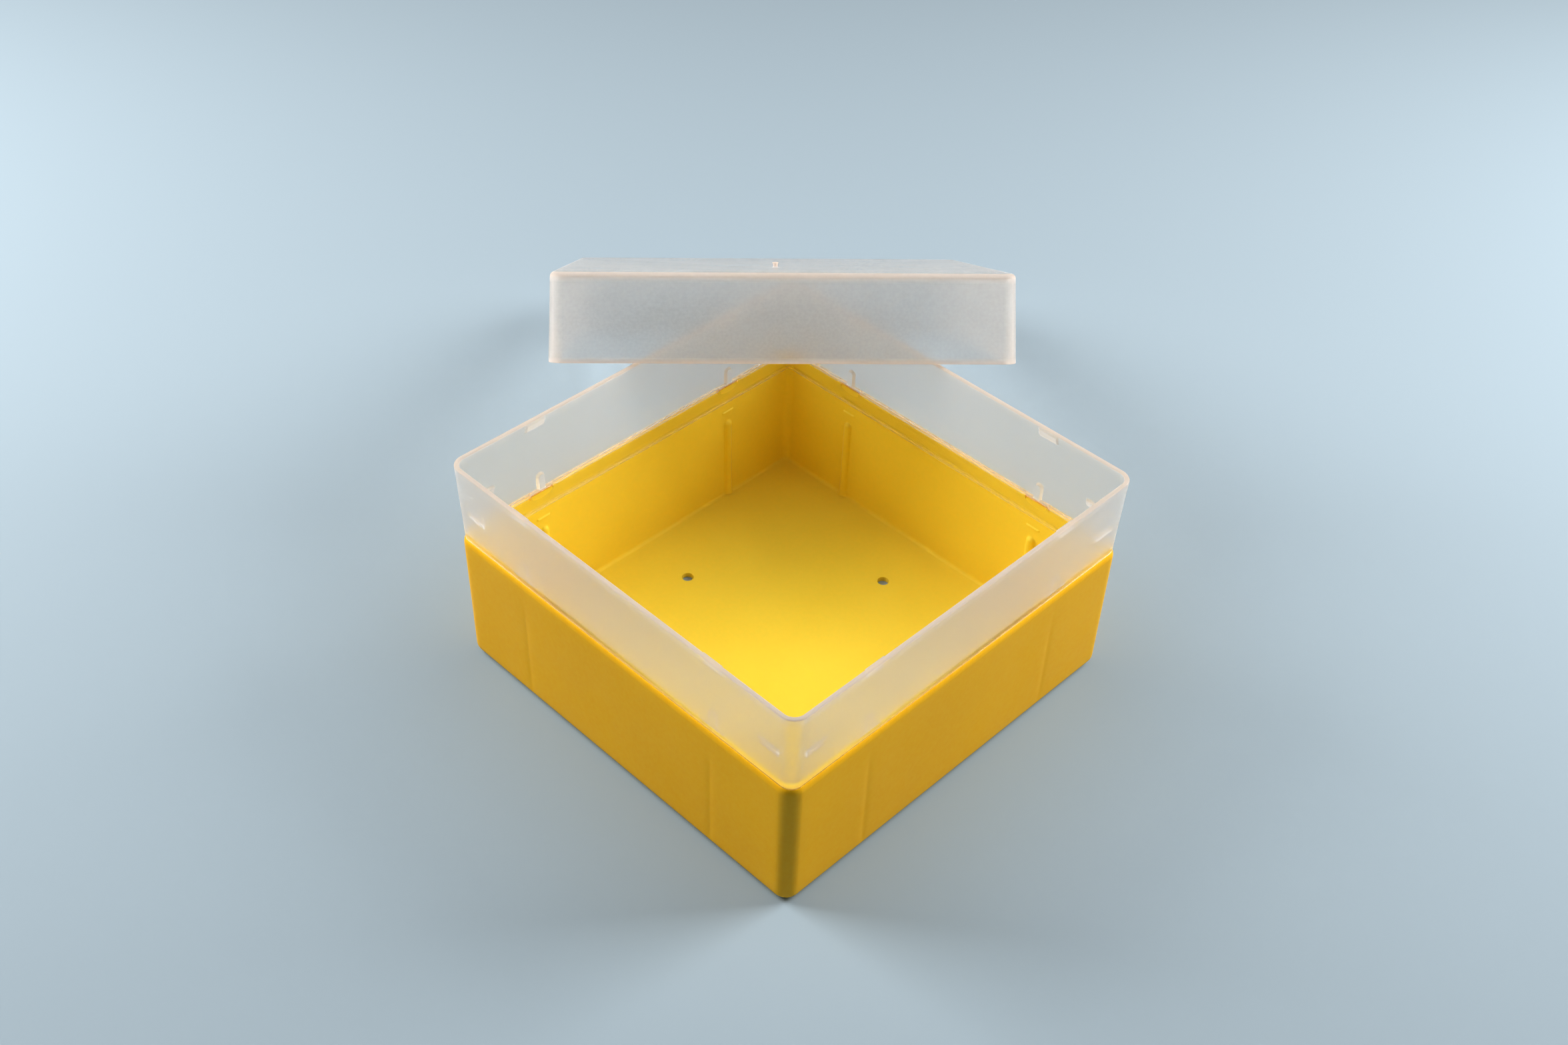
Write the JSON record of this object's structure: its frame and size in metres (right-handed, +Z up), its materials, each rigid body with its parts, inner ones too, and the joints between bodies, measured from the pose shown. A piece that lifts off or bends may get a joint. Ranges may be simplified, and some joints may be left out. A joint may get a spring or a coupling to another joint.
{
  "type": "cryogenic storage box",
  "caption": "Square plastic cryogenic storage box: open yellow base tray with drain holes, translucent snap-in collar, and a loose translucent telescoping lid.",
  "frame": {"origin": "centre of the base tray's flat underside, which rests on the bench", "axes": "+Z up through the open top; +X and +Y square to the tray's walls, so that the lid leans on the corner between the +X and +Y walls"},
  "size_m": [0.2276, 0.2338, 0.0898],
  "materials": {
    "yellow_plastic": "opaque golden yellow polypropylene, satin walls, fine matte texture on the floor",
    "translucent_collar": "natural polypropylene, milky translucent, satin, fine scratches on the inside",
    "translucent_lid": "natural polypropylene, milky translucent, satin"
  },
  "bodies": {
    "base": {"base_tray": "yellow_plastic"},
    "collar": {"collar": "translucent_collar"},
    "lid": {"lid": "translucent_lid"}
  },
  "joints": [
    {"name": "collar_lift", "type": "slide", "parent": "base", "child": "collar", "axis": [0, 0, 1], "range_m": [0, 0.04]},
    {"name": "lid_lift", "type": "slide", "parent": "collar", "child": "lid", "axis": [0, 0, 1], "range_m": [0, 0.09]}
  ]
}
